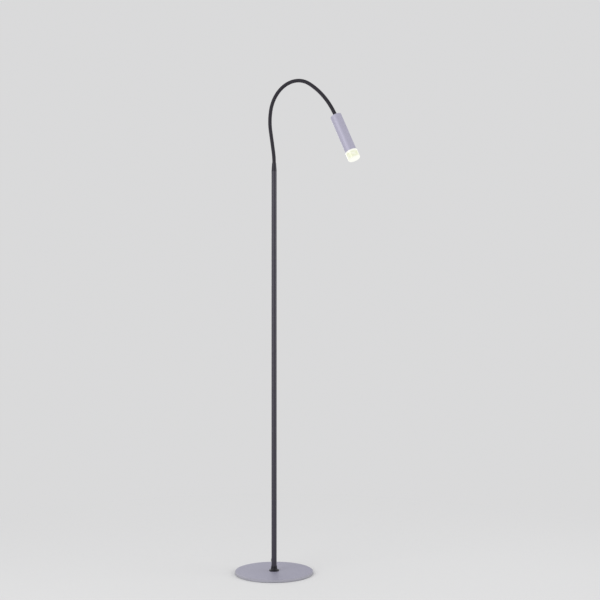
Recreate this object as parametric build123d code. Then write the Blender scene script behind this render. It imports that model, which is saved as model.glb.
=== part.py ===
from build123d import *
from math import copysign, cos, degrees, radians, sin, sqrt
import os

# Gooseneck reading floor lamp, in millimetres. +Z is up, and the origin is the centre of the
# base's underside. The neck arches in the XZ plane, towards +X.

# base
BASE_DIAMETER = 240.0
PLATE_THICKNESS = 7.0
PLATE_TOP_RADIUS = 1.6
PLATE_BOTTOM_CHAMFER = 0.6
PAD_THICKNESS = 1.0
PAD_INSET = 3.0
RECESS_DIAMETER = 46.0
RECESS_DEPTH = 4.5

# fixing of the pole to the base
STUD_DIAMETER = 10.0
STUD_BORE = 6.0
STUD_ABOVE_PLATE = 22.0
STUD_END_CLEARANCE = 0.3
WASHER_DIAMETER = 26.0
WASHER_THICKNESS = 1.2
NUT_ACROSS_FLATS = 17.0
NUT_THICKNESS = 2.6
NUT_CORNER_SHARE = 0.97
PLUG_LENGTH = 26.0

# collar that covers the pole's foot
COLLAR_OVERHANG = 7.0
COLLAR_RIM_HEIGHT = 3.8
COLLAR_RIM_RADIUS = 1.1
COLLAR_FLARE_RADIUS = 4.0
COLLAR_TOP_HEIGHT = 15.0
COLLAR_WALL = 0.9
COLLAR_TAPER = 0.5

# pole
POLE_DIAMETER = 16.0
POLE_WALL = 1.0
POLE_SECTION_LENGTH = 409.0
POLE_SECTIONS = ("pole_lower", "pole_middle", "pole_upper")
JOINER_NAMES = ("pole_joiner_lower", "pole_joiner_upper")
JOINER_LENGTH = 44.0
JOINER_BORE = 7.0
JOINER_GROOVE_WIDTH = 2.0
JOINER_GROOVE_DEPTH = 0.5
END_CHAMFER = 0.5

# cord entry in the pole's rear wall
GROMMET_ABOVE_PLUG = 0.7
GROMMET_HOLE = 8.0
GROMMET_BORE = 6.2
GROMMET_LIP = 1.3
GROMMET_LIP_THICKNESS = 1.0

# lead inside the pole and the head
LEAD_DIAMETER = 4.4
LEAD_ABOVE_GROMMET = 20.0

# socket at the top of the pole
SOCKET_HEIGHT = 25.0
SOCKET_LAND = 1.5
SOCKET_MOUTH_WALL = 0.7
SOCKET_SPIGOT = 20.0
NECK_INSERT = 15.0
FERRULE_DIAMETER = 8.0
FERRULE_BORE = 5.2
FERRULE_LENGTH = 22.0

# gooseneck: its resting shape is tangent arcs, each with a length and a turn in degrees, and a
# positive turn bends it towards +X and down
NECK_ARC_LENGTHS = (35.0, 65.0, 65.0, 190.0, 148.0)
NECK_ARC_TURNS = (-9.5, -0.5, 21.5, 110.0, 31.5)
NECK_DIAMETER = 11.0
SLEEVE_WALL = 0.9
CORE_WALL = 1.4
CORE_END = 2.4
NECK_BENDS = 14
NECK_STUB = 20.0

# head
HEAD_DIAMETER = 34.0
HEAD_LENGTH = 122.0
HEAD_WALL = 1.6
HEAD_EDGE_CHAMFER = 0.4
CAP_THICKNESS = 9.0
CAP_CHAMFER = 0.8
HEAD_INSERT = 6.0
HEAD_FERRULE_LENGTH = 18.0
HEAD_NUT_ACROSS_FLATS = 13.0
HEAD_NUT_THICKNESS = 4.0
DRIVER_GAP = 3.0
DRIVER_SINK_GAP = 7.8
DRIVER_FLAT_DEPTH = 2.5
SINK_LENGTH = 40.0
SINK_FRONT = 6.0
SINK_SLOTS = 10
SINK_SLOT_WIDTH = 2.6
SINK_CORE_DIAMETER = 15.0
BOARD_DIAMETER = 28.0
BOARD_THICKNESS = 1.6
EMITTER_SIDE = 13.5
EMITTER_BASE = 0.8
EMITTER_GLOW_DIAMETER = 11.0
EMITTER_GLOW_HEIGHT = 0.3
SCREW_CIRCLE_DIAMETER = 21.0
SCREW_COUNT = 2
SCREW_DIAMETER = 2.5
SCREW_HEAD_DIAMETER = 4.2
SCREW_HEAD_HEIGHT = 1.4
SCREW_DEPTH = 6.0

# diffuser
DIFFUSER_DIAMETER = 36.0
DIFFUSER_LENGTH = 26.0
DIFFUSER_FRONT_RADIUS = 2.4
DIFFUSER_BACK_RADIUS = 0.6
DIFFUSER_SPIGOT = 6.6
DIFFUSER_WELL_DIAMETER = 26.0
DIFFUSER_WELL_DEPTH = 3.0

# clearances, measured on the radius
FIT_CLEARANCE = 0.05
LOOSE_CLEARANCE = 0.15
CORE_CLEARANCE = 0.2
BEND_CLEARANCE = 0.3

# how far a cutting form reaches past what it cuts, and the turn in radians that counts as none
CUT_MARGIN = 0.5
NO_TURN = 1e-9

# worked out from the sizes above
PLATE_TOP = PAD_THICKNESS + PLATE_THICKNESS
RECESS_TOP = PAD_THICKNESS + RECESS_DEPTH
GROMMET_FLANGE = GROMMET_HOLE + 2 * GROMMET_LIP
GROMMET_HEIGHT = PLATE_TOP + PLUG_LENGTH + GROMMET_ABOVE_PLUG + GROMMET_FLANGE / 2
POLE_BORE = POLE_DIAMETER - 2 * POLE_WALL
POLE_TOP = PLATE_TOP + len(POLE_SECTIONS) * POLE_SECTION_LENGTH
SOCKET_TOP = POLE_TOP + SOCKET_HEIGHT
NECK_LENGTH = sum(NECK_ARC_LENGTHS)
BEND_SPACING = (NECK_LENGTH - 2 * NECK_STUB) / (NECK_BENDS - 1)
HEAD_BORE = HEAD_DIAMETER - 2 * HEAD_WALL
DRIVER_START = HEAD_INSERT + HEAD_FERRULE_LENGTH + DRIVER_GAP
SPIGOT_START = HEAD_LENGTH - DIFFUSER_SPIGOT
BOARD_START = SPIGOT_START - BOARD_THICKNESS
SINK_START = BOARD_START - SINK_LENGTH
DRIVER_LENGTH = SINK_START - DRIVER_SINK_GAP - DRIVER_START
NECK_HOLE = NECK_DIAMETER + 2 * LOOSE_CLEARANCE
FERRULE_HOLE = FERRULE_DIAMETER + 2 * FIT_CLEARANCE


# ---- simple forms -------------------------------------------------------------------------

def rod(diameter, length, start=0.0):
    """A round bar along Z that begins at the height start."""
    return Pos(0, 0, start) * extrude(Circle(diameter / 2), amount=length)


def tube(outer, inner, length, start=0.0):
    """A round tube along Z that begins at the height start."""
    section = Circle(outer / 2) - Circle(inner / 2)
    return Pos(0, 0, start) * extrude(section, amount=length)


def turned(*edges):
    """A closed outline of (radius, height), turned about Z."""
    return revolve(Plane.XZ * make_face(edges), Axis.Z)


def chamfered_ends(shape, size):
    """The shape with its outermost round edges at both ends chamfered."""
    for ends in (shape.faces().sort_by(Axis.Z)[0], shape.faces().sort_by(Axis.Z)[-1]):
        edge = ends.edges().sort_by(SortBy.LENGTH)[-1]
        shape = chamfer(edge, size)
    return shape


def hex_nut(across_flats, thickness, hole, start):
    """A hexagonal nut with rounded corners."""
    corner_radius = across_flats / sqrt(3)
    section = RegularPolygon(corner_radius, 6)
    rounding = rod(NUT_CORNER_SHARE * 2 * corner_radius, thickness)
    blank = extrude(section, amount=thickness) & rounding
    return Pos(0, 0, start) * (blank - rod(hole, thickness))


# ---- stand --------------------------------------------------------------------------------

def base_pad():
    """Thin rubber disc that the lamp stands on."""
    return rod(BASE_DIAMETER - 2 * PAD_INSET, PAD_THICKNESS)


def base_plate():
    """Heavy steel disc, rounded above, with a recess below for the nut."""
    plate = rod(BASE_DIAMETER, PLATE_THICKNESS, PAD_THICKNESS)
    rims = plate.edges().sort_by(Axis.Z)
    plate = fillet(rims[-1], PLATE_TOP_RADIUS)
    plate = chamfer(plate.edges().sort_by(Axis.Z)[0], PLATE_BOTTOM_CHAMFER)
    recess = rod(RECESS_DIAMETER, RECESS_DEPTH, PAD_THICKNESS)
    stud_hole = rod(STUD_DIAMETER + 2 * LOOSE_CLEARANCE, PLATE_THICKNESS, PAD_THICKNESS)
    return plate - recess - stud_hole


def foot_washer():
    """Washer between the nut and the plate."""
    hole = STUD_DIAMETER + 2 * LOOSE_CLEARANCE
    return tube(WASHER_DIAMETER, hole, WASHER_THICKNESS, RECESS_TOP - WASHER_THICKNESS)


def foot_nut():
    """Thin nut in the recess."""
    start = RECESS_TOP - WASHER_THICKNESS - NUT_THICKNESS
    return hex_nut(NUT_ACROSS_FLATS, NUT_THICKNESS, STUD_DIAMETER + 2 * FIT_CLEARANCE, start)


def foot_stud():
    """Hollow stud from the nut up into the plug in the pole's foot."""
    start = PAD_THICKNESS + STUD_END_CLEARANCE
    length = PLATE_TOP + STUD_ABOVE_PLATE - start
    return chamfered_ends(tube(STUD_DIAMETER, STUD_BORE, length, start), END_CHAMFER)


def pole_foot_plug():
    """Threaded plug in the pole's foot that the stud screws into."""
    outer = POLE_BORE - 2 * FIT_CLEARANCE
    hole = STUD_DIAMETER + 2 * FIT_CLEARANCE
    return chamfered_ends(tube(outer, hole, PLUG_LENGTH, PLATE_TOP), END_CHAMFER)


def foot_collar():
    """Turned collar: a rim on the plate that flares up into a short sleeve round the pole."""
    bore = POLE_DIAMETER / 2 + LOOSE_CLEARANCE
    rim = POLE_DIAMETER / 2 + COLLAR_OVERHANG
    sleeve = bore + COLLAR_WALL + COLLAR_TAPER
    corner = rim - COLLAR_RIM_RADIUS
    rim_side = COLLAR_RIM_HEIGHT - COLLAR_RIM_RADIUS
    flare_top = COLLAR_RIM_HEIGHT + COLLAR_FLARE_RADIUS
    flare_start = sleeve + COLLAR_FLARE_RADIUS
    diagonal = COLLAR_FLARE_RADIUS * sqrt(0.5)
    collar = turned(
        Line((bore, 0), (rim, 0)),
        Line((rim, 0), (rim, rim_side)),
        RadiusArc((rim, rim_side), (corner, COLLAR_RIM_HEIGHT), -COLLAR_RIM_RADIUS),
        Line((corner, COLLAR_RIM_HEIGHT), (flare_start, COLLAR_RIM_HEIGHT)),
        ThreePointArc(
            (flare_start, COLLAR_RIM_HEIGHT),
            (flare_start - diagonal, flare_top - diagonal),
            (sleeve, flare_top),
        ),
        Line((sleeve, flare_top), (sleeve - COLLAR_TAPER, COLLAR_TOP_HEIGHT)),
        Line((sleeve - COLLAR_TAPER, COLLAR_TOP_HEIGHT), (bore, COLLAR_TOP_HEIGHT)),
        Line((bore, COLLAR_TOP_HEIGHT), (bore, 0)),
    )
    top_edge = collar.faces().sort_by(Axis.Z)[-1].edges().sort_by(SortBy.LENGTH)[-1]
    return Pos(0, 0, PLATE_TOP) * fillet(top_edge, COLLAR_WALL / 2)


def pole_section(index):
    """One length of the pole, counted from the bottom. The first has the cord's hole."""
    section = tube(
        POLE_DIAMETER, POLE_BORE, POLE_SECTION_LENGTH, PLATE_TOP + index * POLE_SECTION_LENGTH
    )
    if index == 0:
        section -= rear_frame() * rod(GROMMET_HOLE, POLE_DIAMETER)
    return section


def pole_joiner(index):
    """Coupler that holds two lengths of the pole end to end, with a groove at the seam."""
    seam = PLATE_TOP + (index + 1) * POLE_SECTION_LENGTH
    outer = POLE_BORE - 2 * FIT_CLEARANCE
    joiner = tube(outer, JOINER_BORE, JOINER_LENGTH, seam - JOINER_LENGTH / 2)
    joiner = chamfered_ends(joiner, END_CHAMFER)
    groove_floor = outer - 2 * JOINER_GROOVE_DEPTH
    groove_start = seam - JOINER_GROOVE_WIDTH / 2
    return joiner - tube(outer + CUT_MARGIN, groove_floor, JOINER_GROOVE_WIDTH, groove_start)


def rear_frame():
    """Places a form made along Z so that it points out of the pole's rear, at the cord's hole."""
    return Plane(origin=(0, 0, GROMMET_HEIGHT), x_dir=(0, 1, 0), z_dir=(-1, 0, 0)).location


def cord_grommet():
    """Bushing in the pole's rear wall, with a lip that follows the wall on each side."""
    outside = POLE_DIAMETER / 2 + FIT_CLEARANCE
    inside = POLE_BORE / 2 - FIT_CLEARANCE
    outer_skin = outside + GROMMET_LIP_THICKNESS
    inner_skin = inside - GROMMET_LIP_THICKNESS
    span = GROMMET_FLANGE + 2 * CUT_MARGIN
    low = GROMMET_HEIGHT - span / 2
    body = rear_frame() * rod(GROMMET_HOLE - 2 * FIT_CLEARANCE, POLE_DIAMETER)
    lips = rear_frame() * rod(GROMMET_FLANGE, POLE_DIAMETER)
    body &= tube(2 * outer_skin, 2 * inner_skin, span, low)
    outer_lip = lips & tube(2 * outer_skin, 2 * outside, span, low)
    inner_lip = lips & tube(2 * inside, 2 * inner_skin, span, low)
    return body + outer_lip + inner_lip - rear_frame() * rod(GROMMET_BORE, POLE_DIAMETER)


def pole_lead():
    """Lead from above the cord's hole up through the pole to the foot of the neck."""
    start = GROMMET_HEIGHT + LEAD_ABOVE_GROMMET
    return rod(LEAD_DIAMETER, SOCKET_TOP - start, start)


def neck_socket():
    """Cone on the pole's top, with a spigot inside the pole and a stepped hole for the neck."""
    spigot = POLE_BORE / 2 - FIT_CLEARANCE
    shoulder = POLE_DIAMETER / 2
    mouth = NECK_HOLE / 2 + SOCKET_MOUTH_WALL
    step = SOCKET_HEIGHT - NECK_INSERT
    socket = turned(
        Line((FERRULE_HOLE / 2, -SOCKET_SPIGOT), (spigot, -SOCKET_SPIGOT)),
        Line((spigot, -SOCKET_SPIGOT), (spigot, 0)),
        Line((spigot, 0), (shoulder, 0)),
        Line((shoulder, 0), (shoulder, SOCKET_LAND)),
        Line((shoulder, SOCKET_LAND), (mouth, SOCKET_HEIGHT)),
        Line((mouth, SOCKET_HEIGHT), (NECK_HOLE / 2, SOCKET_HEIGHT)),
        Line((NECK_HOLE / 2, SOCKET_HEIGHT), (NECK_HOLE / 2, step)),
        Line((NECK_HOLE / 2, step), (FERRULE_HOLE / 2, step)),
        Line((FERRULE_HOLE / 2, step), (FERRULE_HOLE / 2, -SOCKET_SPIGOT)),
    )
    top_edge = socket.faces().sort_by(Axis.Z)[-1].edges().sort_by(SortBy.LENGTH)[-1]
    return Pos(0, 0, POLE_TOP) * fillet(top_edge, SOCKET_MOUTH_WALL / 2)


def neck_ferrule_bottom():
    """Threaded end of the neck's core, screwed into the socket."""
    top = SOCKET_TOP - NECK_INSERT
    return tube(FERRULE_DIAMETER, FERRULE_BORE, FERRULE_LENGTH, top - FERRULE_LENGTH)


# ---- gooseneck ----------------------------------------------------------------------------

def neck_place(along):
    """X, Z and heading in radians of the neck's centreline, at a distance from the socket's mouth.

    Before its first arc and after its last, the centreline is straight.
    """
    x, z, heading = 0.0, SOCKET_TOP, 0.0
    left = along
    for length, turn in zip(NECK_ARC_LENGTHS, NECK_ARC_TURNS):
        run = min(max(left, 0.0), length)
        bend = radians(turn) / length
        x += (cos(heading) - cos(heading + bend * run)) / bend
        z += (sin(heading + bend * run) - sin(heading)) / bend
        heading += bend * run
        left -= length if left > length else run
    straight = min(along, 0.0) + max(along - NECK_LENGTH, 0.0)
    return x + straight * sin(heading), z + straight * cos(heading), heading


def neck_frame(along):
    """Plane across the neck, whose normal points along it, towards the head."""
    x, z, heading = neck_place(along)
    return Plane(
        origin=(x, 0, z),
        x_dir=(cos(heading), 0, -sin(heading)),
        z_dir=(sin(heading), 0, cos(heading)),
    )


def neck_span(start, end, outer, inner):
    """A tube along a stretch of the neck that bends evenly."""
    frame = neck_frame(start)
    section = frame * (Circle(outer / 2) - Circle(inner / 2))
    turn = neck_place(end)[2] - neck_place(start)[2]
    if abs(turn) < NO_TURN:
        return extrude(section, amount=end - start)
    centre = frame.origin + frame.x_dir * ((end - start) / turn)
    axis = Axis(centre, (0, copysign(1.0, turn), 0))
    return revolve(section, axis, degrees(abs(turn)))


def neck_tube(start, end, outer, inner):
    """A tube that follows the neck between two distances from the socket's mouth."""
    borders = [0.0]
    for length in NECK_ARC_LENGTHS:
        borders.append(borders[-1] + length)
    stops = [start] + [b for b in borders if start < b < end] + [end]
    spans = [neck_span(a, b, outer, inner) for a, b in zip(stops, stops[1:])]
    whole = spans[0]
    for span in spans[1:]:
        whole += span
    return whole


def bend_place(number):
    """Distance along the neck of a bend's centre, counted from 1."""
    return NECK_STUB + (number - 1) * BEND_SPACING


def rounded_end(along):
    """The domed end of a sleeve, about the bend's centre, with its bore."""
    ball = NECK_DIAMETER / 2
    bore = ball - SLEEVE_WALL
    height = sqrt(ball**2 - bore**2)
    half_way = sqrt(ball**2 - (height / 2) ** 2)
    dome = turned(
        Line((bore, 0), (ball, 0)),
        ThreePointArc((ball, 0), (half_way, height / 2), (bore, height)),
        Line((bore, height), (bore, 0)),
    )
    return neck_frame(along).location * dome


def neck_sleeve(index):
    """One length of the sleeve: hollowed below to turn on the dome under it, and domed above."""
    first = index == 0
    last = index == NECK_BENDS
    start = -NECK_INSERT if first else bend_place(index)
    end = NECK_LENGTH + HEAD_INSERT if last else bend_place(index + 1)
    sleeve = neck_tube(start, end, NECK_DIAMETER, NECK_DIAMETER - 2 * SLEEVE_WALL)
    if not last:
        sleeve += rounded_end(end)
    if not first:
        sleeve -= neck_frame(start).location * Sphere(NECK_DIAMETER / 2 + BEND_CLEARANCE)
    return sleeve


def neck_core(index):
    """One length of the wound steel core, inside its sleeve."""
    outer = NECK_DIAMETER - 2 * (SLEEVE_WALL + CORE_CLEARANCE)
    hollow = NECK_DIAMETER / 2 + 2 * BEND_CLEARANCE
    start = -NECK_INSERT if index == 0 else bend_place(index) + hollow
    end = NECK_LENGTH + HEAD_INSERT if index == NECK_BENDS else bend_place(index + 1) + CORE_END
    return neck_tube(start, end, outer, outer - 2 * CORE_WALL)


# ---- head: each piece is made along Z from the back face, then placed at the neck's end ------

def head_tube():
    """Slim cylinder of the head."""
    return chamfered_ends(tube(HEAD_DIAMETER, HEAD_BORE, HEAD_LENGTH), HEAD_EDGE_CHAMFER)


def head_cap():
    """Plug in the head's back end, with a stepped hole for the neck."""
    cap = rod(HEAD_BORE - 2 * FIT_CLEARANCE, CAP_THICKNESS)
    cap = chamfer(cap.edges().sort_by(Axis.Z)[0], CAP_CHAMFER)
    return cap - rod(NECK_HOLE, HEAD_INSERT) - rod(FERRULE_HOLE, CAP_THICKNESS)


def neck_ferrule_top():
    """Threaded end of the neck's core, through the cap."""
    return tube(FERRULE_DIAMETER, FERRULE_BORE, HEAD_FERRULE_LENGTH, HEAD_INSERT)


def head_nut():
    """Nut that locks the neck to the cap."""
    return hex_nut(HEAD_NUT_ACROSS_FLATS, HEAD_NUT_THICKNESS, FERRULE_HOLE, CAP_THICKNESS)


def head_lead():
    """Lead from the neck's end to the driver."""
    return rod(LEAD_DIAMETER, DRIVER_START - HEAD_INSERT, HEAD_INSERT)


def driver_module():
    """Potted driver: a round block with one flat."""
    diameter = HEAD_BORE - 2 * LOOSE_CLEARANCE
    block = chamfered_ends(rod(diameter, DRIVER_LENGTH, DRIVER_START), END_CHAMFER)
    flat = Pos(diameter - DRIVER_FLAT_DEPTH, 0, DRIVER_START + DRIVER_LENGTH / 2) * Box(
        diameter, diameter, DRIVER_LENGTH
    )
    return block - flat


def screw_places(start):
    """Where the screws of the LED board stand, at a height."""
    places = PolarLocations(SCREW_CIRCLE_DIAMETER / 2, SCREW_COUNT).locations
    return [Pos(0, 0, start) * place for place in places]


def heat_sink():
    """Finned slug behind the LED board, closed at its front."""
    sink = rod(HEAD_BORE - 2 * FIT_CLEARANCE, SINK_LENGTH, SINK_START)
    depth = (HEAD_BORE - SINK_CORE_DIAMETER) / 2
    length = SINK_LENGTH - SINK_FRONT
    slot = Box(
        depth,
        SINK_SLOT_WIDTH,
        length,
        align=(Align.MIN, Align.CENTER, Align.MIN),
    )
    for place in PolarLocations(SINK_CORE_DIAMETER / 2, SINK_SLOTS, start_angle=180 / SINK_SLOTS):
        sink -= Pos(0, 0, SINK_START) * place * slot
    for place in screw_places(BOARD_START - SCREW_DEPTH):
        sink -= place * rod(SCREW_DIAMETER + 2 * FIT_CLEARANCE, SCREW_DEPTH)
    return sink


def led_board():
    """Round board that carries the emitter."""
    board = rod(BOARD_DIAMETER, BOARD_THICKNESS, BOARD_START)
    for place in screw_places(BOARD_START):
        board -= place * rod(SCREW_DIAMETER + 2 * LOOSE_CLEARANCE, BOARD_THICKNESS)
    return board


def led_emitter():
    """Square LED package with its round glowing window."""
    base = Pos(0, 0, SPIGOT_START + EMITTER_BASE / 2) * Box(EMITTER_SIDE, EMITTER_SIDE, EMITTER_BASE)
    window = rod(EMITTER_GLOW_DIAMETER, EMITTER_GLOW_HEIGHT, SPIGOT_START + EMITTER_BASE)
    return base + window


def led_screws():
    """Screws that hold the board on the heat sink, as separate solids."""
    screws = []
    for place in screw_places(SPIGOT_START):
        shank = rod(SCREW_DIAMETER, SCREW_DEPTH, -SCREW_DEPTH)
        screws.append(place * (shank + rod(SCREW_HEAD_DIAMETER, SCREW_HEAD_HEIGHT)))
    return Compound(children=screws)


def diffuser():
    """Thick clear end: a spigot inside the tube, a wider block beyond it, a well over the LED."""
    spigot = rod(HEAD_BORE - 2 * LOOSE_CLEARANCE, DIFFUSER_SPIGOT, SPIGOT_START)
    block = rod(DIFFUSER_DIAMETER, DIFFUSER_LENGTH, HEAD_LENGTH)
    rims = block.edges().filter_by(GeomType.CIRCLE).sort_by(Axis.Z)
    block = fillet(rims[-1], DIFFUSER_FRONT_RADIUS)
    rims = block.edges().filter_by(GeomType.CIRCLE).sort_by(Axis.Z)
    block = fillet(rims[0], DIFFUSER_BACK_RADIUS)
    well = rod(DIFFUSER_WELL_DIAMETER, DIFFUSER_WELL_DEPTH, SPIGOT_START)
    return block + spigot - well


# ---- writing ------------------------------------------------------------------------------

def stand_pieces():
    """Each piece of the stand by its name."""
    pieces = {
        "base_pad": base_pad(),
        "base_plate": base_plate(),
        "foot_washer": foot_washer(),
        "foot_nut": foot_nut(),
        "foot_stud": foot_stud(),
        "foot_collar": foot_collar(),
        "pole_foot_plug": pole_foot_plug(),
        "cord_grommet": cord_grommet(),
        "pole_lead": pole_lead(),
        "neck_socket": neck_socket(),
        "neck_ferrule_bottom": neck_ferrule_bottom(),
    }
    for index, name in enumerate(POLE_SECTIONS):
        pieces[name] = pole_section(index)
    for index, name in enumerate(JOINER_NAMES):
        pieces[name] = pole_joiner(index)
    return pieces


def neck_pieces():
    """Each length of the neck's sleeve and core by its name, from the socket to the head."""
    pieces = {}
    for index in range(NECK_BENDS + 1):
        pieces[f"neck_sleeve_{index:02d}"] = neck_sleeve(index)
        pieces[f"neck_core_{index:02d}"] = neck_core(index)
    return pieces


def head_pieces():
    """Each piece of the head by its name, placed at the neck's end."""
    pieces = {
        "head_tube": head_tube(),
        "head_cap": head_cap(),
        "neck_ferrule_top": neck_ferrule_top(),
        "head_nut": head_nut(),
        "head_lead": head_lead(),
        "driver_module": driver_module(),
        "heat_sink": heat_sink(),
        "led_board": led_board(),
        "led_emitter": led_emitter(),
        "led_screws": led_screws(),
        "diffuser": diffuser(),
    }
    seat = neck_frame(NECK_LENGTH).location
    return {name: seat * shape for name, shape in pieces.items()}


os.makedirs("parts", exist_ok=True)
for piece_name, piece in {**stand_pieces(), **neck_pieces(), **head_pieces()}.items():
    export_step(piece, f"parts/{piece_name}.step")
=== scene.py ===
"""Gooseneck reading floor lamp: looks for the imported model, in metres, +Z up."""

import logging
import math
from dataclasses import dataclass
from enum import Enum
from typing import Any

import bmesh
import bpy
from mathutils import Euler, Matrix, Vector


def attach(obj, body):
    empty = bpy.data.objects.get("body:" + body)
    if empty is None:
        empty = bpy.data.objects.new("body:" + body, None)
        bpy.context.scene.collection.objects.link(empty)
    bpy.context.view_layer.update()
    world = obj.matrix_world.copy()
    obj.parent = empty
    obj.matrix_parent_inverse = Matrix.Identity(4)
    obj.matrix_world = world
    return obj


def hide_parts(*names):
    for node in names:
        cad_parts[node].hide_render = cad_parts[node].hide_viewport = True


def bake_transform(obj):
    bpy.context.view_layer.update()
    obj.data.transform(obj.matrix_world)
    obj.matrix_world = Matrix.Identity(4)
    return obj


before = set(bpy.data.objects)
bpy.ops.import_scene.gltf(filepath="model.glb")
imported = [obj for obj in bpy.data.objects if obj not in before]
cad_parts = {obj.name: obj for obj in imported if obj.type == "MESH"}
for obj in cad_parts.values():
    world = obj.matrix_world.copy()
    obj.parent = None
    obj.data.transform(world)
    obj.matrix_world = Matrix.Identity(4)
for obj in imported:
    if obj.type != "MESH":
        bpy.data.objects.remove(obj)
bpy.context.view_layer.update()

LOG = logging.getLogger("lamp")
TAU = 2 * math.pi

Colour = tuple[float, float, float]

# The Mix node keeps sockets for every kind of data: these are the ones for colours.
MIX_FACTOR, MIX_FIRST, MIX_SECOND, MIX_RESULT = 0, 6, 7, 2


# ---- node trees ---------------------------------------------------------------------------


class Graph:
    """Adds nodes to one node tree and joins them."""

    def __init__(self, tree: bpy.types.NodeTree) -> None:
        """Keeps the tree.

        Args:
            tree: the node tree that the nodes go into.
        """
        self.tree = tree

    def add(
        self, kind: str, sockets: dict[Any, Any] | None = None, **settings: Any
    ) -> bpy.types.Node:
        """Adds one node.

        Args:
            kind: the node's type name.
            sockets: input name or number to a value, or to an output that is linked to it.
            settings: attributes of the node, such as its operation.

        Returns:
            The new node.
        """
        node = self.tree.nodes.new(kind)
        for name, value in settings.items():
            setattr(node, name, value)
        for key, value in (sockets or {}).items():
            self.feed(node.inputs[key], value)
        return node

    def feed(self, socket: bpy.types.NodeSocket, value: Any) -> None:
        """Sets an input, or links an output to it.

        Args:
            socket: the input.
            value: a plain value, or another node's output.
        """
        if isinstance(value, bpy.types.NodeSocket):
            self.tree.links.new(value, socket)
        else:
            socket.default_value = value

    def math(self, operation: str, *values: Any, clamp: bool = False) -> bpy.types.NodeSocket:
        """Adds a Math node.

        Args:
            operation: the Math node's operation.
            values: its inputs in order.
            clamp: keeps the result between 0 and 1.

        Returns:
            The node's output.
        """
        inputs = dict(enumerate(values))
        node = self.add("ShaderNodeMath", inputs, operation=operation, use_clamp=clamp)
        return node.outputs[0]

    def ramp(
        self, value: Any, low: float, high: float, out_low: float = 0.0, out_high: float = 1.0
    ) -> bpy.types.NodeSocket:
        """Maps a value's range smoothly onto another.

        Args:
            value: the value.
            low: where the output is out_low.
            high: where the output is out_high.
            out_low: the output below the range.
            out_high: the output above the range.

        Returns:
            The mapped value.
        """
        node = self.add(
            "ShaderNodeMapRange",
            {
                "Value": value,
                "From Min": low,
                "From Max": high,
                "To Min": out_low,
                "To Max": out_high,
            },
            interpolation_type="SMOOTHSTEP",
        )
        return node.outputs["Result"]

    def mix(self, factor: Any, first: Any, second: Any) -> bpy.types.NodeSocket:
        """Mixes two colours.

        Args:
            factor: 0 for the first, 1 for the second.
            first: a colour of four numbers, or an output.
            second: the same.

        Returns:
            The mixed colour.
        """
        node = self.add("ShaderNodeMix", data_type="RGBA", clamp_factor=True)
        self.feed(node.inputs[MIX_FACTOR], factor)
        self.feed(node.inputs[MIX_FIRST], first)
        self.feed(node.inputs[MIX_SECOND], second)
        return node.outputs[MIX_RESULT]

    def noise(
        self, coordinates: Any, scale: Any, detail: float, roughness: float
    ) -> bpy.types.NodeSocket:
        """Adds a Noise Texture node.

        Args:
            coordinates: what the noise follows.
            scale: its scale, per metre.
            detail: how many finer layers it has.
            roughness: how strong they are.

        Returns:
            The noise, about 0.5 on average.
        """
        sockets = {
            "Vector": coordinates,
            "Scale": scale,
            "Detail": detail,
            "Roughness": roughness,
        }
        return self.add("ShaderNodeTexNoise", sockets).outputs[0]


def rgba(colour: Colour) -> tuple[float, float, float, float]:
    """The colour with a full alpha."""
    return (*colour, 1.0)


def group(name: str, inputs: dict[str, str], outputs: dict[str, str]) -> tuple[Graph, Any, Any]:
    """Makes an empty shader node group.

    Args:
        name: the group's name.
        inputs: input name to socket type.
        outputs: output name to socket type.

    Returns:
        The group's graph, its input node's outputs and its output node's inputs.
    """
    tree = bpy.data.node_groups.new(name, "ShaderNodeTree")
    for label, kind in inputs.items():
        tree.interface.new_socket(label, in_out="INPUT", socket_type=kind)
    for label, kind in outputs.items():
        tree.interface.new_socket(label, in_out="OUTPUT", socket_type=kind)
    graph = Graph(tree)
    return graph, graph.add("NodeGroupInput").outputs, graph.add("NodeGroupOutput").inputs


FLOAT, VECTOR, COLOUR = "NodeSocketFloat", "NodeSocketVector", "NodeSocketColor"

NOISE_MIDDLE = 0.5
# Slow drifts of shade in a coat: their scale per metre, and how the shade is shared out.
DRIFT_SCALE = 9.0
GRAIN_SHARE, DRIFT_SHARE = 0.6, 0.4
# Dust: its colour, the scale of its specks per metre, and the values between which it fades in.
DUST_COLOUR = (0.5, 0.49, 0.47)
SPECK_SCALE = 260.0
DUSTY_FROM, DUSTY_TO = 0.2, 1.0
SPECK_FROM, SPECK_TO = 0.42, 0.72
DUST_ROUGHNESS = 0.35


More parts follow.
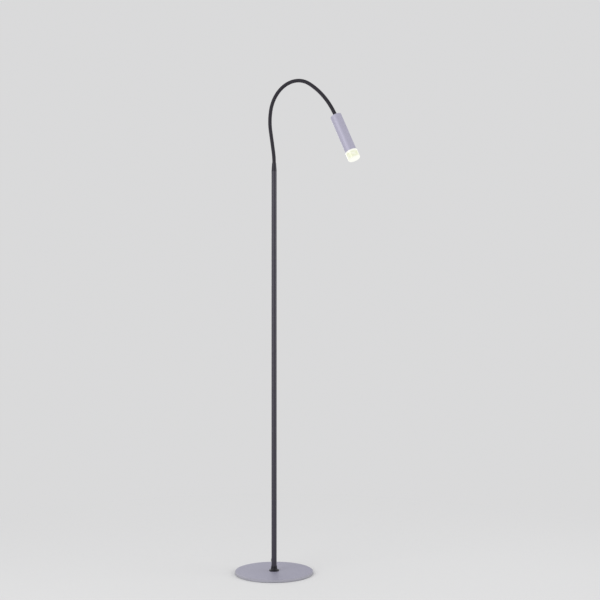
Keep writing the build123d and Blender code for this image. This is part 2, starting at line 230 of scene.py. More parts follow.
def coat_grain() -> bpy.types.NodeTree:
    """Fine grain of a coat or a moulded skin, with slow drifts of shade.

    Returns:
        The group. It is built once.
    """
    if "coat_grain" in bpy.data.node_groups:
        return bpy.data.node_groups["coat_grain"]
    graph, given, made = group(
        "coat_grain",
        {
            "Coordinates": VECTOR,
            "Colour": COLOUR,
            "Grain Size": FLOAT,
            "Colour Spread": FLOAT,
            "Roughness": FLOAT,
            "Roughness Spread": FLOAT,
        },
        {"Colour": COLOUR, "Roughness": FLOAT, "Height": FLOAT},
    )
    scale = graph.math("DIVIDE", 1.0, given["Grain Size"])
    fine = graph.noise(given["Coordinates"], scale, detail=3.0, roughness=0.55)
    drift = graph.noise(given["Coordinates"], DRIFT_SCALE, detail=2.0, roughness=0.5)
    fine_part = graph.math("MULTIPLY", fine, GRAIN_SHARE)
    drift_part = graph.math("MULTIPLY", drift, DRIFT_SHARE)
    shade = graph.math("SUBTRACT", graph.math("ADD", fine_part, drift_part), NOISE_MIDDLE)
    change = graph.math("ADD", 1.0, graph.math("MULTIPLY", shade, given["Colour Spread"]))
    tinted = graph.add(
        "ShaderNodeVectorMath", {0: given["Colour"], "Scale": change}, operation="SCALE"
    ).outputs[0]
    graph.feed(made["Colour"], tinted)
    drifted = graph.math("SUBTRACT", drift, NOISE_MIDDLE)
    rough = graph.math("MULTIPLY", drifted, given["Roughness Spread"])
    graph.feed(made["Roughness"], graph.math("ADD", given["Roughness"], rough, clamp=True))
    graph.feed(made["Height"], fine)
    return graph.tree


def dust_film() -> bpy.types.NodeTree:
    """Thin dust on what faces up, in the piece's own rest position.

    Returns:
        The group. It is built once.
    """
    if "dust_film" in bpy.data.node_groups:
        return bpy.data.node_groups["dust_film"]
    graph, given, made = group(
        "dust_film",
        {
            "Coordinates": VECTOR,
            "Normal": VECTOR,
            "Colour": COLOUR,
            "Roughness": FLOAT,
            "Amount": FLOAT,
        },
        {"Colour": COLOUR, "Roughness": FLOAT},
    )
    up = graph.add("ShaderNodeSeparateXYZ", {0: given["Normal"]}).outputs["Z"]
    facing = graph.ramp(up, DUSTY_FROM, DUSTY_TO)
    specks = graph.noise(given["Coordinates"], SPECK_SCALE, detail=4.0, roughness=0.7)
    settled = graph.math("MULTIPLY", facing, graph.ramp(specks, SPECK_FROM, SPECK_TO))
    lies = graph.math("MULTIPLY", settled, given["Amount"])
    graph.feed(made["Colour"], graph.mix(lies, given["Colour"], rgba(DUST_COLOUR)))
    raised = graph.math("MULTIPLY", lies, DUST_ROUGHNESS)
    graph.feed(made["Roughness"], graph.math("ADD", given["Roughness"], raised, clamp=True))
    return graph.tree


# ---- finishes -----------------------------------------------------------------------------


class Grain(Enum):
    """Kinds of surface grain: its size in metres, and its height in metres."""

    POWDER = (0.0009, 0.000018)
    LACQUER = (0.0016, 0.000006)
    MOULDED = (0.0004, 0.00001)
    TURNED = (0.0003, 0.000006)
    CAST = (0.0012, 0.00004)


@dataclass(frozen=True)
class Finish:
    """One finish of the lamp, built as one material.

    Its name says what it is, and mostly matches the record's material slot.
    """

    name: str
    colour: Colour
    roughness: float
    grain: Grain
    metallic: float = 0.0
    specular: float = 0.5
    colour_spread: float = 0.08
    roughness_spread: float = 0.12
    dust: float = 0.0

    def shader(self) -> tuple[bpy.types.Material, Graph, bpy.types.Node]:
        """Makes an empty material with its shader's constants set.

        Returns:
            The material, its graph and its Principled BSDF.
        """
        material = bpy.data.materials.new(self.name)
        material.use_nodes = True
        material.node_tree.nodes.clear()
        graph = Graph(material.node_tree)
        shader = graph.add(
            "ShaderNodeBsdfPrincipled",
            {"Metallic": self.metallic, "Specular IOR Level": self.specular},
        )
        graph.add("ShaderNodeOutputMaterial", {"Surface": shader.outputs[0]})
        return material, graph, shader

    def grained(
        self, graph: Graph, shader: bpy.types.Node, coordinates: bpy.types.NodeSocket
    ) -> bpy.types.Node:
        """Feeds the shader's colour, roughness and normal from the finish's grain.

        Args:
            graph: the material's graph.
            shader: its Principled BSDF.
            coordinates: what the grain follows.

        Returns:
            The Bump node.
        """
        size, height = self.grain.value
        grain = graph.add(
            "ShaderNodeGroup",
            {
                "Coordinates": coordinates,
                "Colour": rgba(self.colour),
                "Grain Size": size,
                "Colour Spread": self.colour_spread,
                "Roughness": self.roughness,
                "Roughness Spread": self.roughness_spread,
            },
            node_tree=coat_grain(),
        )
        colour, rough = grain.outputs["Colour"], grain.outputs["Roughness"]
        if self.dust:
            normal = graph.add("ShaderNodeTexCoord").outputs["Normal"]
            film = graph.add(
                "ShaderNodeGroup",
                {
                    "Coordinates": coordinates,
                    "Normal": normal,
                    "Colour": colour,
                    "Roughness": rough,
                    "Amount": self.dust,
                },
                node_tree=dust_film(),
            )
            colour, rough = film.outputs["Colour"], film.outputs["Roughness"]
        bump = graph.add(
            "ShaderNodeBump",
            {"Strength": 1.0, "Distance": height, "Height": grain.outputs["Height"]},
        )
        graph.feed(shader.inputs["Base Color"], colour)
        graph.feed(shader.inputs["Roughness"], rough)
        graph.feed(shader.inputs["Normal"], bump.outputs[0])
        return bump

    def material(self) -> bpy.types.Material:
        """Builds the material.

        Returns:
            The material, with its grain on Object coordinates.
        """
        material, graph, shader = self.shader()
        self.grained(graph, shader, graph.add("ShaderNodeTexCoord").outputs["Object"])
        return material


@dataclass(frozen=True)
class RimHighlightFinish(Finish):
    """Coat on a disc about the Z axis, with a painted highlight at the rounded rim: paler and more
    neutral there.
    """

    # The painted highlight at the rounded rim: its colour, the radii over which it fades in, and
    # how strong it gets.
    rim: Colour = (0.5, 0.5, 0.5)
    highlight_start: float = 0.0
    highlight_end: float = 0.0
    highlight_share: float = 1.0

    def material(self) -> bpy.types.Material:
        """Builds the material.

        Returns:
            The material, with its grain and its painted rim highlight on Object coordinates.
        """
        material, graph, shader = self.shader()
        place = graph.add("ShaderNodeTexCoord").outputs["Object"]
        self.grained(graph, shader, place)
        level = graph.add(
            "ShaderNodeVectorMath", {0: place, 1: (1.0, 1.0, 0.0)}, operation="MULTIPLY"
        ).outputs[0]
        radius = graph.add("ShaderNodeVectorMath", {0: level}, operation="LENGTH").outputs["Value"]
        # Painted highlight: the coat turns paler and more neutral towards the rounded rim.
        painted_highlight = graph.ramp(radius, self.highlight_start, self.highlight_end, 0.0, self.highlight_share)
        coat = shader.inputs["Base Color"].links[0].from_socket
        graph.feed(shader.inputs["Base Color"], graph.mix(painted_highlight, coat, rgba(self.rim)))
        return material


@dataclass(frozen=True)
class SleeveFinish(Finish):
    """Matt sleeve, drawn so tight that the wound core shows through as a faint ripple."""

    pitch: float = 0.0026
    ripple: float = 0.00003

    def material(self) -> bpy.types.Material:
        """Builds the material.

        Returns:
            The material. Its ripple reads the piece's own attribute.
        """
        material, graph, shader = self.shader()
        bump = self.grained(graph, shader, graph.add("ShaderNodeTexCoord").outputs["Object"])
        winding = graph.add("ShaderNodeAttribute", attribute_name="winding").outputs["Vector"]
        parts = graph.add("ShaderNodeSeparateXYZ", {0: winding}).outputs
        phase = graph.math("MULTIPLY", parts[0], TAU / self.pitch)
        wave = graph.math(
            "ADD",
            graph.math("MULTIPLY", graph.math("SINE", phase), parts[1]),
            graph.math("MULTIPLY", graph.math("COSINE", phase), parts[2]),
        )
        ridges = graph.add(
            "ShaderNodeBump",
            {"Strength": 1.0, "Distance": self.ripple, "Height": wave, "Normal": bump.outputs[0]},
        )
        graph.feed(shader.inputs["Normal"], ridges.outputs[0])
        return material


@dataclass(frozen=True)
class TurnedFinish(Finish):
    """Metal turned on a lathe, with fine rings round the piece's own axis."""

    centre: tuple[float, float, float] = (0.0, 0.0, 0.0)
    tilt: float = 0.0
    drawn_out: float = 0.08

    def material(self) -> bpy.types.Material:
        """Builds the material.

        Returns:
            The material, with its rings square to the axis.
        """
        material, graph, shader = self.shader()
        place = graph.add("ShaderNodeTexCoord").outputs["Object"]
        turned = graph.add(
            "ShaderNodeMapping",
            {"Vector": place, "Location": self.centre, "Rotation": (0.0, self.tilt, 0.0)},
            vector_type="TEXTURE",
        )
        stretched = graph.add(
            "ShaderNodeMapping",
            {"Vector": turned.outputs[0], "Scale": (self.drawn_out, self.drawn_out, 1.0)},
            vector_type="POINT",
        )
        self.grained(graph, shader, stretched.outputs[0])
        return material


@dataclass(frozen=True)
class GlowFinish(Finish):
    """Clear acrylic lit from behind: a mottled glow, whiter towards its edges and its front.

    The fades at its back and front are shares of its length. Scales are per metre.
    """

    centre: tuple[float, float, float] = (0.0, 0.0, 0.0)
    tilt: float = 0.0
    start: float = 0.0
    end: float = 0.0
    glow: Colour = (1.0, 1.0, 0.9)
    deep: Colour = (0.9, 0.9, 0.6)
    strength: float = 1.0
    back_fade: tuple[float, float] = (0.10, 0.32)
    front_fade: float = 0.16
    side_fade: tuple[float, float] = (0.55, 0.95)
    bubble_scale: float = 300.0
    bubble_fade: tuple[float, float] = (0.05, 0.35)
    bubble_depth: float = 0.4
    cloud_scale: float = 110.0
    cloud_fade: tuple[float, float] = (0.3, 0.6)
    cloud_depth: float = 0.35

    def material(self) -> bpy.types.Material:
        """Builds the material.

        Returns:
            The material, whose glow follows the piece's own axis.
        """
        material, graph, shader = self.shader()
        place = graph.add("ShaderNodeTexCoord").outputs["Object"]
        local = graph.add(
            "ShaderNodeMapping",
            {"Vector": place, "Location": self.centre, "Rotation": (0.0, self.tilt, 0.0)},
            vector_type="TEXTURE",
        ).outputs[0]
        self.grained(graph, shader, local)
        axes = graph.add("ShaderNodeSeparateXYZ", {0: local}).outputs
        length = self.end - self.start
        back_from, back_to = (self.start + share * length for share in self.back_fade)
        back = graph.ramp(axes["Z"], back_from, back_to, 1.0, 0.0)
        front = graph.ramp(axes["Z"], self.end - self.front_fade * length, self.end)
        facing = graph.add("ShaderNodeLayerWeight", {"Blend": 0.5}).outputs["Facing"]
        side = graph.ramp(facing, *self.side_fade)
        cells = graph.add(
            "ShaderNodeTexVoronoi",
            {"Vector": local, "Scale": self.bubble_scale, "Randomness": 1.0},
            feature="SMOOTH_F1",
        ).outputs["Distance"]
        bubbles = graph.ramp(cells, *self.bubble_fade, self.bubble_depth, 1.0)
        clouds = graph.noise(local, self.cloud_scale, detail=3.0, roughness=0.6)
        cloudy = graph.ramp(clouds, *self.cloud_fade, self.cloud_depth, 1.0)
        mottle = graph.math("MULTIPLY", cloudy, bubbles)
        edges = graph.math("MAXIMUM", graph.math("MAXIMUM", back, front), side)
        depth = graph.math("MULTIPLY", graph.math("SUBTRACT", 1.0, edges), mottle, clamp=True)
        colour = graph.mix(depth, rgba(self.glow), rgba(self.deep))
        graph.feed(shader.inputs["Emission Color"], colour)
        shader.inputs["Emission Strength"].default_value = self.strength
        return material


# ---- the gooseneck ------------------------------------------------------------------------

# Faces with more corners than this are flat ends, and all others are wall.
WALL_CORNERS = 4


@dataclass
class Gooseneck:
    """The neck: one smooth sleeve along tangent arcs.

    Each arc is a length in metres and a turn in degrees. The sleeve is cut at the joints that bend
    it fore and aft, where a dome turns in a slightly larger hollow. It is one length across the
    joints that bend it sideways, fixed in its rest place and joined to no body.

    The two inserts are its ends inside the socket and the cap, and stub is the distance from each
    of these to the nearest joint. rings is the steps between two joints and sides the steps round
    the sleeve. The dome and the hollow are smaller in radius than the sleeve by their insets.
    blend_inset goes into the reach of a smooth bend, which is worked out and not used.
    """

    finish: Finish
    arcs: tuple[tuple[float, float], ...] = (
        (0.035, -9.5),
        (0.065, -0.5),
        (0.065, 21.5),
        (0.190, 110.0),
        (0.148, 31.5),
    )
    foot: float = 1.260
    diameter: float = 0.011
    insert: float = 0.015
    head_insert: float = 0.006
    stub: float = 0.020
    bends: int = 14
    sideways: tuple[int, ...] = (2, 4, 9, 12)
    rings: int = 24
    sides: int = 32
    dome_rings: int = 8
    dome_inset: float = 0.0001
    hollow_inset: float = 0.00004
    blend_inset: float = 0.0016

    @property
    def length(self) -> float:
        """Free length of the neck."""
        return sum(length for length, turn in self.arcs)

    @property
    def spacing(self) -> float:
        """Distance along the neck from one bend to the next."""
        return (self.length - 2 * self.stub) / (self.bends - 1)

    def place(self, along: float) -> tuple[Vector, float]:
        """A point of the centreline.

        Args:
            along: distance from the socket's mouth. The line is straight before 0 and past the end.

        Returns:
            The point, and the heading in radians from straight up.
        """
        x, z, heading, left = 0.0, self.foot, 0.0, along
        for length, turn in self.arcs:
            run = min(max(left, 0.0), length)
            bend = math.radians(turn) / length
            x += (math.cos(heading) - math.cos(heading + bend * run)) / bend
            z += (math.sin(heading + bend * run) - math.sin(heading)) / bend
            heading += bend * run
            left -= length if left > length else run
        past = min(along, 0.0) + max(along - self.length, 0.0)
        return Vector((x + past * math.sin(heading), 0.0, z + past * math.cos(heading))), heading

    def bend_place(self, number: int) -> float:
        """Where a bend is, along the neck.

        Args:
            number: the bend's number from 1. Number 0 is the foot of the sleeve, and the one past
                the last is its head end.

        Returns:
            Its distance from the socket's mouth.
        """
        if number == 0:
            return -self.insert
        if number > self.bends:
            return self.length + self.head_insert
        return self.stub + self.spacing * (number - 1)

    def path(self) -> bpy.types.Object:
        """The centreline as a chain of edges.

        Returns:
            An object that the geometry nodes turn into the sleeve.
        """
        places = [self.bend_place(number) for number in range(self.bends + 2)]
        stops = [places[0]]
        for low, high in zip(places, places[1:]):
            stops += [low + (high - low) * step / self.rings for step in range(1, self.rings + 1)]
        mesh = bpy.data.meshes.new("neck_path")
        points = [self.place(along)[0] for along in stops]
        mesh.from_pydata(points, [(i, i + 1) for i in range(len(points) - 1)], [])
        path = bpy.data.objects.new("neck_path", mesh)
        bpy.context.scene.collection.objects.link(path)
        return path

    def tree(self) -> bpy.types.NodeTree:
        """Geometry nodes that sweep a round section along the path.

        Returns:
            The tree, with its inputs Radius, Sides and Finish.
        """
        tree = bpy.data.node_groups.new("neck_sleeve", "GeometryNodeTree")
        sockets = tree.interface
        sockets.new_socket("Path", in_out="INPUT", socket_type="NodeSocketGeometry")
        sockets.new_socket("Radius", in_out="INPUT", socket_type="NodeSocketFloat")
        sockets.new_socket("Sides", in_out="INPUT", socket_type="NodeSocketInt")
        sockets.new_socket("Finish", in_out="INPUT", socket_type="NodeSocketMaterial")
        sockets.new_socket("Sleeve", in_out="OUTPUT", socket_type="NodeSocketGeometry")
        graph = Graph(tree)
        given = graph.add("NodeGroupInput").outputs
        curve = graph.add("GeometryNodeMeshToCurve", {"Mesh": given["Path"]}).outputs[0]
        along = graph.add("GeometryNodeCaptureAttribute", domain="POINT")
        along.capture_items.new("FLOAT", "Along")
        graph.feed(along.inputs["Geometry"], curve)
        run = graph.add("GeometryNodeSplineParameter").outputs["Length"]
        graph.feed(along.inputs["Along"], run)
        circle = graph.add(
            "GeometryNodeCurvePrimitiveCircle",
            {"Resolution": given["Sides"], "Radius": given["Radius"]},
            mode="RADIUS",
        )
        around = graph.add("GeometryNodeCaptureAttribute", domain="POINT")
        around.capture_items.new("VECTOR", "Around")
        graph.feed(around.inputs["Geometry"], circle.outputs[0])
        graph.feed(around.inputs["Around"], graph.add("GeometryNodeInputPosition").outputs[0])
        swept = graph.add(
            "GeometryNodeCurveToMesh",
            {
                "Curve": along.outputs["Geometry"],
                "Profile Curve": around.outputs["Geometry"],
                "Fill Caps": True,
            },
        ).outputs[0]
        unit = graph.add(
            "ShaderNodeVectorMath",
            {0: around.outputs["Around"], "Scale": graph.math("DIVIDE", 1.0, given["Radius"])},
            operation="SCALE",
        ).outputs[0]
        round_way = graph.add("ShaderNodeSeparateXYZ", {0: unit}).outputs
        winding = graph.add(
            "ShaderNodeCombineXYZ",
            {"X": along.outputs["Along"], "Y": round_way["X"], "Z": round_way["Y"]},
        ).outputs[0]
        stored = graph.add(
            "GeometryNodeStoreNamedAttribute",
            {"Geometry": swept, "Name": "winding", "Value": winding},
            data_type="FLOAT_VECTOR",
            domain="POINT",
        ).outputs[0]
        smooth = graph.add("GeometryNodeSetShadeSmooth", {"Geometry": stored}).outputs[0]
        real = graph.add("GeometryNodeRealizeInstances", {"Geometry": smooth}).outputs[0]
        dressed = graph.add(
            "GeometryNodeSetMaterial", {"Geometry": real, "Material": given["Finish"]}
        ).outputs[0]
        graph.add("NodeGroupOutput", {"Sleeve": dressed})
        return tree

    def sweep(self) -> bpy.types.Mesh:
        """Runs the geometry nodes on the path.

        Returns:
            The whole sleeve as a plain mesh.
        """
        path = self.path()
        modifier = path.modifiers.new("sleeve", "NODES")
        modifier.node_group = self.tree()
        values = {
            "Radius": self.diameter / 2,
            "Sides": self.sides,
            "Finish": self.finish.material(),
        }
        for item in modifier.node_group.interface.items_tree:
            if item.name in values and item.in_out == "INPUT":
                modifier[item.identifier] = values[item.name]
        graph = bpy.context.evaluated_depsgraph_get()
        mesh = bpy.data.meshes.new_from_object(path.evaluated_get(graph))
        path.modifiers.clear()
        bpy.data.objects.remove(path)
        return mesh

    def round_end(
        self, part: bmesh.types.BMesh, rim: list[bmesh.types.BMEdge], along: float, inset: float
    ) -> None:
        """Closes an end with half a ball about a joint's centre.

        It is a dome on the length below the joint, and a hollow in the one above. On the inner
        side of a bend the hollow's rim still goes under the wall of the length below: about
        0.36 mm at 21 degrees.

        Args:
            part: the length of sleeve.
            rim: the open end's edges.
            along: where the joint is, along the neck.
            inset: how much smaller the ball is than the sleeve.
        """
        layer = part.verts.layers.float_vector["winding"]
        centre, heading = self.place(along)
        upward = Vector((math.sin(heading), 0.0, math.cos(heading)))
        radius = self.diameter / 2 - inset
        pole = part.verts.new(centre + upward * radius)
        chains: dict[bmesh.types.BMVert, list[bmesh.types.BMVert]] = {}
        for vert in [v for edge in rim for v in edge.verts]:
            if vert in chains:
                continue
            out = (vert.co - centre).normalized() * radius
            chains[vert] = [vert]
            for step in range(1, self.dome_rings):
                turn = step / self.dome_rings * math.pi / 2
                rise = upward * radius * math.sin(turn)
                made = part.verts.new(centre + out * math.cos(turn) + rise)
                made[layer] = vert[layer]
                chains[vert].append(made)
        for edge in rim:
            one, other = (chains[vert] for vert in edge.verts)
            for step in range(self.dome_rings - 1):
                part.faces.new((one[step], other[step], other[step + 1], one[step + 1]))
            part.faces.new((one[-1], other[-1], pole))

    def stretch(self, whole: bpy.types.Mesh, name: str, first: int, last: int) -> bpy.types.Object:
        """Cuts one length out of the sleeve and closes its ends.

        Args:
            whole: the whole sleeve.
            name: the new piece's name.
            first: number of the bend where the length begins.
            last: number of the bend where it ends.

        Returns:
            The piece.
        """
        part = bmesh.new()
        part.from_mesh(whole)
        layer = part.verts.layers.float_vector["winding"]
        low, high = self.bend_place(first), self.bend_place(last)
        slack = self.spacing / self.rings / 4  # well under the distance between two rings
        start, end = low - slack + self.insert, high + slack + self.insert
        outside = [v for v in part.verts if not start <= v[layer].x <= end]
        bmesh.ops.delete(part, geom=outside, context="VERTS")
        flats = [f for f in part.faces if len(f.verts) > WALL_CORNERS]
        bmesh.ops.delete(part, geom=flats, context="FACES_ONLY")
        middle = (low + high) / 2 + self.insert
        rims = [edge for edge in part.edges if edge.is_boundary]
        below = [edge for edge in rims if edge.verts[0][layer].x < middle]
        above = [edge for edge in rims if edge.verts[0][layer].x > middle]
        if first > 0:
            self.round_end(part, below, low, self.hollow_inset)
        if last <= self.bends:
            self.round_end(part, above, high, self.dome_inset)
        bmesh.ops.holes_fill(part, edges=[edge for edge in rims if edge.is_boundary], sides=0)
        for edge in rims:
            edge.smooth = False
        for face in part.faces:
            face.smooth = len(face.verts) <= WALL_CORNERS
        bmesh.ops.recalc_face_normals(part, faces=part.faces)
        mesh = bpy.data.meshes.new(name)
        part.to_mesh(mesh)
        part.free()
        mesh.materials.append(whole.materials[0])
        piece = bpy.data.objects.new(name, mesh)
        bpy.context.scene.collection.objects.link(piece)
        return piece

    def body(self, index: int) -> str:
        """Name of the CAD body that carries a length of the neck, counted from the foot."""
        if index == 0:
            return "stand"
        return "head" if index == self.bends else f"neck_{index:02d}"

    def build(self) -> None:
        """Makes every length of the sleeve, joins each that one body carries to it, and fixes the
        others in place.
        """
        whole = self.sweep()
        cuts = [number for number in range(self.bends + 2) if number not in self.sideways]
        for first, last in zip(cuts, cuts[1:]):
            carriers = range(first, last)
            piece = self.stretch(whole, f"neck_length_{first:02d}", first, last)
            if len(carriers) == 1:
                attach(piece, self.body(first))
            else:
                centre = self.bend_place(first + 1)
                reach = self.spacing - self.blend_inset
                start, end = self.place(centre - reach)[0], self.place(centre + reach)[0]
                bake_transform(piece)
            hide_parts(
                *[
                    f"neck_{layer}_{index:02d}"
                    for index in carriers
                    for layer in ("sleeve", "core")
                ],
            )
            LOG.info("%s: %d faces", piece.name, len(piece.data.polygons))
        bpy.data.meshes.remove(whole)


# ---- the stand and the head ---------------------------------------------------------------


@dataclass
class Stand:
    """Base, collar, pole and socket, which are the CAD solids with their finishes."""

    plate: Finish
    pad: Finish
    black: Finish
    socket: Finish
    pole: Finish
    rubber: Finish
    lead: Finish
    zinc: Finish

    def finishes(self) -> dict[str, Finish]:
        """The finish of each CAD node."""
        return {
            "base_plate": self.plate,
            "base_pad": self.pad,
            "foot_collar": self.black,
            "neck_socket": self.socket,
            "pole_lower": self.pole,
            "pole_middle": self.pole,
            "pole_upper": self.pole,
            "cord_grommet": self.rubber,
            "pole_lead": self.lead,
            "foot_washer": self.zinc,
            "foot_nut": self.zinc,
            "foot_stud": self.zinc,
            "pole_foot_plug": self.zinc,
            "pole_joiner_lower": self.zinc,
            "pole_joiner_upper": self.zinc,
            "neck_ferrule_bottom": self.zinc,
        }

    def build(self) -> None:
        """Dresses the stand."""
        dress(self.finishes())


@dataclass
class ReadingHead:
    """Slim cylinder with its driver, heat sink, LED and glowing end."""

    shell: Finish
    sink: Finish
    potting: Finish
    lead: Finish
    zinc: Finish
    board: Finish
    emitter: Finish
    acrylic: Finish

    def finishes(self) -> dict[str, Finish]:
        """The finish of each CAD node."""
        return {
            "head_tube": self.shell,
            "head_cap": self.shell,
            "heat_sink": self.sink,
            "driver_module": self.potting,
            "head_lead": self.lead,
            "head_nut": self.zinc,
            "neck_ferrule_top": self.zinc,
            "led_screws": self.zinc,
            "led_board": self.board,
            "led_emitter": self.emitter,
            "diffuser": self.acrylic,
        }

    def build(self) -> None:
        """Dresses the head."""
        dress(self.finishes())


def dress(finishes: dict[str, Finish]) -> None:
    """Gives CAD nodes their materials.

    Args:
        finishes: node name to finish. Nodes with one finish share its material.
    """
    made: dict[Finish, bpy.types.Material] = {}
    for name, finish in finishes.items():
        if finish not in made:
            made[finish] = finish.material()
        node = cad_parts[name]
        node.data.materials.clear()
        node.data.materials.append(made[finish])
        LOG.info("%s: %s", name, finish.name)


# ---- the studio ---------------------------------------------------------------------------

WHITE = (1.0, 1.0, 1.0)


@dataclass(frozen=True)
class Panel:
    """A soft studio light that faces the lamp."""

    name: str
    azimuth: float
    height: float
    distance: float
    size: float
    power: float
    aim: float = 0.8

    def build(self) -> None:
        """Puts the light in the scene."""
        light = bpy.data.lights.new(self.name, "AREA")
        light.shape = "DISK"
        light.size = self.size
        light.energy = self.power
        panel = bpy.data.objects.new(self.name, light)
        turn = math.radians(self.azimuth)
        across, along = math.sin(turn) * self.distance, -math.cos(turn) * self.distance
        panel.location = (across, along, self.height)
        towards = Vector((0.0, 0.0, self.aim)) - panel.location
        panel.rotation_euler = towards.to_track_quat("-Z", "Y").to_euler()
        bpy.context.scene.collection.objects.link(panel)


@dataclass
class Studio:
    """Plain pale floor and surroundings, soft lights, and the photograph's camera."""

    azimuth: float = 38.0
    distance: float = 3.456
    height: float = 0.8395
    aside: float = 0.0796
    lens: float = 67.49
    floor_radius: float = 12.0
    floor_sides: int = 96
    fade_start: float = 0.4
    fade_end: float = 1.9
    surround: Colour = (0.70, 0.70, 0.705)
    floor_colour: Colour = (0.79, 0.79, 0.795)
    ambient: float = 0.66
    panels: tuple[Panel, ...] = (
        Panel("key", azimuth=-4.0, height=1.4, distance=3.6, size=3.2, power=66.0),
        Panel("side", azimuth=116.0, height=1.5, distance=3.6, size=2.8, power=46.0),
        Panel("back", azimuth=235.0, height=2.0, distance=3.8, size=2.4, power=18.0),
    )

    def camera(self) -> None:
        """Sets the camera: level, at the photograph's angle."""
        turn = math.radians(self.azimuth)
        right = Vector((math.cos(turn), math.sin(turn), 0.0))
        back = Vector((math.sin(turn), -math.cos(turn), 0.0))
        data = bpy.data.cameras.new("camera")
        data.lens = self.lens
        camera = bpy.data.objects.new("camera", data)
        upward = Vector((0.0, 0.0, self.height))
        camera.location = back * self.distance + right * self.aside + upward
        camera.rotation_euler = Euler((math.pi / 2, 0.0, turn))
        bpy.context.scene.collection.objects.link(camera)
        bpy.context.scene.camera = camera

    def world(self) -> None:
        """Sets the surroundings: what the camera and reflections see, and what lights the lamp."""
        world = bpy.data.worlds.new("surroundings")
        world.use_nodes = True
        world.node_tree.nodes.clear()
        graph = Graph(world.node_tree)
        rays = graph.add("ShaderNodeLightPath").outputs
        seen = graph.math("MAXIMUM", rays["Is Camera Ray"], rays["Is Glossy Ray"])
        seen = graph.math("MAXIMUM", seen, rays["Is Transmission Ray"])
        light = graph.add(
            "ShaderNodeBackground", {"Color": rgba(WHITE), "Strength": self.ambient}
        )
        view = graph.add("ShaderNodeBackground", {"Color": rgba(self.surround), "Strength": 1.0})
        mixed = graph.add("ShaderNodeMixShader", {0: seen, 1: light.outputs[0], 2: view.outputs[0]})
        graph.add("ShaderNodeOutputWorld", {"Surface": mixed.outputs[0]})
        bpy.context.scene.world = world

    def floor(self) -> None:
        """Lays the floor, which fades into the surroundings far from the lamp."""
        disc = bmesh.new()
        bmesh.ops.create_circle(
            disc, cap_ends=True, segments=self.floor_sides, radius=self.floor_radius
        )
        mesh = bpy.data.meshes.new("floor")
        disc.to_mesh(mesh)
        disc.free()
        floor = bpy.data.objects.new("floor", mesh)
        bpy.context.scene.collection.objects.link(floor)
        material = bpy.data.materials.new("floor")
        material.use_nodes = True
        material.node_tree.nodes.clear()
        graph = Graph(material.node_tree)
        place = graph.add("ShaderNodeTexCoord").outputs["Object"]
        away = graph.add("ShaderNodeVectorMath", {0: place}, operation="LENGTH").outputs["Value"]
        gone = graph.ramp(away, self.fade_start, self.fade_end)
        board = graph.add("ShaderNodeBsdfDiffuse", {"Color": rgba(self.floor_colour)}).outputs[0]
        clear = graph.add("ShaderNodeBsdfTransparent").outputs[0]
        mixed = graph.add("ShaderNodeMixShader", {0: gone, 1: board, 2: clear}).outputs[0]
        graph.add("ShaderNodeOutputMaterial", {"Surface": mixed})
        mesh.materials.append(material)

    def build(self) -> None:
        """Builds the studio."""
        self.camera()
        self.world()
        self.floor()
        for panel in self.panels:
            panel.build()
        bpy.context.scene.view_settings.view_transform = "Standard"


# ---- the lamp -----------------------------------------------------------------------------

PLATE = RimHighlightFinish(
    "plate_silver",
    colour=(0.325, 0.318, 0.405),
    roughness=0.50,
    grain=Grain.POWDER,
    specular=0.3,
    metallic=0.10,
    dust=0.06,
    # The rim colour is a painted highlight along the plate's rounded rim.
    rim=(0.36, 0.355, 0.40),
    highlight_start=0.1165,
    highlight_end=0.1190,
    highlight_share=0.8,
)
PAD = Finish("pad_rubber", colour=(0.03, 0.03, 0.032), roughness=0.85, grain=Grain.CAST)
BLACK = Finish(
    "satin_black",
    colour=(0.010, 0.009, 0.014),
    roughness=0.34,
    grain=Grain.LACQUER,
    specular=0.3,
    roughness_spread=0.04,
)
SOCKET = Finish(
    "socket_black",
    colour=(0.019, 0.017, 0.026),
    roughness=0.42,
    grain=Grain.LACQUER,
    specular=0.3,
    roughness_spread=0.04,
)
POLE = Finish(
    "pole_anthracite",
    colour=(0.036, 0.0325, 0.047),
    roughness=0.38,
    grain=Grain.POWDER,
    specular=0.4,
    metallic=0.10,
    colour_spread=0.12,
)
SLEEVE = SleeveFinish(
    "neck_black",
    colour=(0.016, 0.0135, 0.021),
    roughness=0.55,
    grain=Grain.MOULDED,
    specular=0.28,
)
NECK = Gooseneck(SLEEVE)
NECK_END, HEAD_TILT = NECK.place(NECK.length)
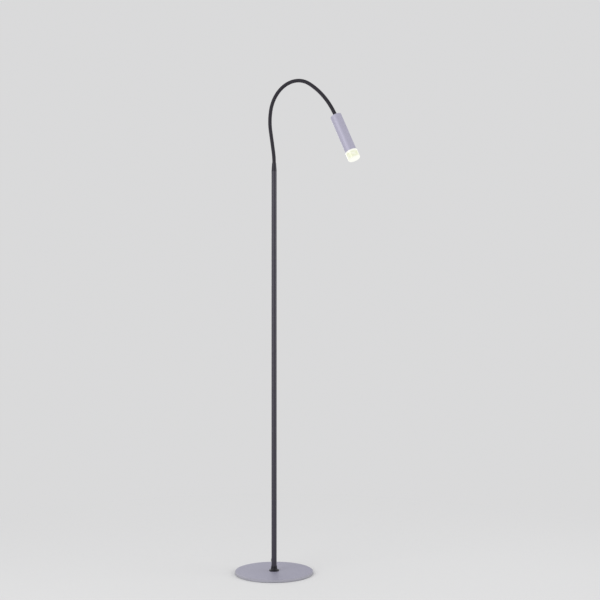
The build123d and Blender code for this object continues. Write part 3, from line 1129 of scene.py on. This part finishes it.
RUBBER = Finish("grommet_rubber", colour=(0.015, 0.015, 0.016), roughness=0.6, grain=Grain.MOULDED)
LEAD = Finish("lead_jacket", colour=(0.02, 0.02, 0.021), roughness=0.5, grain=Grain.MOULDED)
ZINC = TurnedFinish(
    "zinc_steel", colour=(0.56, 0.57, 0.58), roughness=0.32, grain=Grain.TURNED, metallic=1.0
)
SHELL = Finish(
    "head_silver",
    colour=(0.420, 0.405, 0.510),
    roughness=0.46,
    grain=Grain.LACQUER,
    metallic=0.15,
    colour_spread=0.05,
)
SINK = TurnedFinish(
    "sink_aluminium",
    colour=(0.75, 0.76, 0.78),
    roughness=0.35,
    grain=Grain.TURNED,
    metallic=1.0,
    centre=tuple(NECK_END),
    tilt=HEAD_TILT,
)
POTTING = Finish("driver_potting", colour=(0.04, 0.04, 0.045), roughness=0.45, grain=Grain.CAST)
BOARD = Finish("board_white", colour=(0.80, 0.80, 0.77), roughness=0.4, grain=Grain.MOULDED)
EMITTER = GlowFinish(
    "emitter_yellow",
    colour=(0.9, 0.75, 0.2),
    roughness=0.4,
    grain=Grain.MOULDED,
    centre=tuple(NECK_END),
    tilt=HEAD_TILT,
    start=0.1154,
    end=0.1170,
    glow=(1.0, 0.95, 0.75),
    deep=(1.0, 0.85, 0.4),
    strength=3.0,
)
ACRYLIC = GlowFinish(
    "diffuser_acrylic",
    colour=(0.20, 0.20, 0.18),
    roughness=0.12,
    grain=Grain.LACQUER,
    centre=tuple(NECK_END),
    tilt=HEAD_TILT,
    start=0.122,
    end=0.148,
    glow=(0.76, 0.76, 0.70),
    deep=(0.62, 0.64, 0.44),
    strength=1.0,
)


def main() -> None:
    """Builds the lamp and its studio."""
    logging.basicConfig(level=logging.INFO, format="%(name)s %(message)s")
    Stand(PLATE, PAD, BLACK, SOCKET, POLE, RUBBER, LEAD, ZINC).build()
    ReadingHead(SHELL, SINK, POTTING, LEAD, ZINC, BOARD, EMITTER, ACRYLIC).build()
    NECK.build()
    Studio().build()


if __name__ == "__main__":
    main()
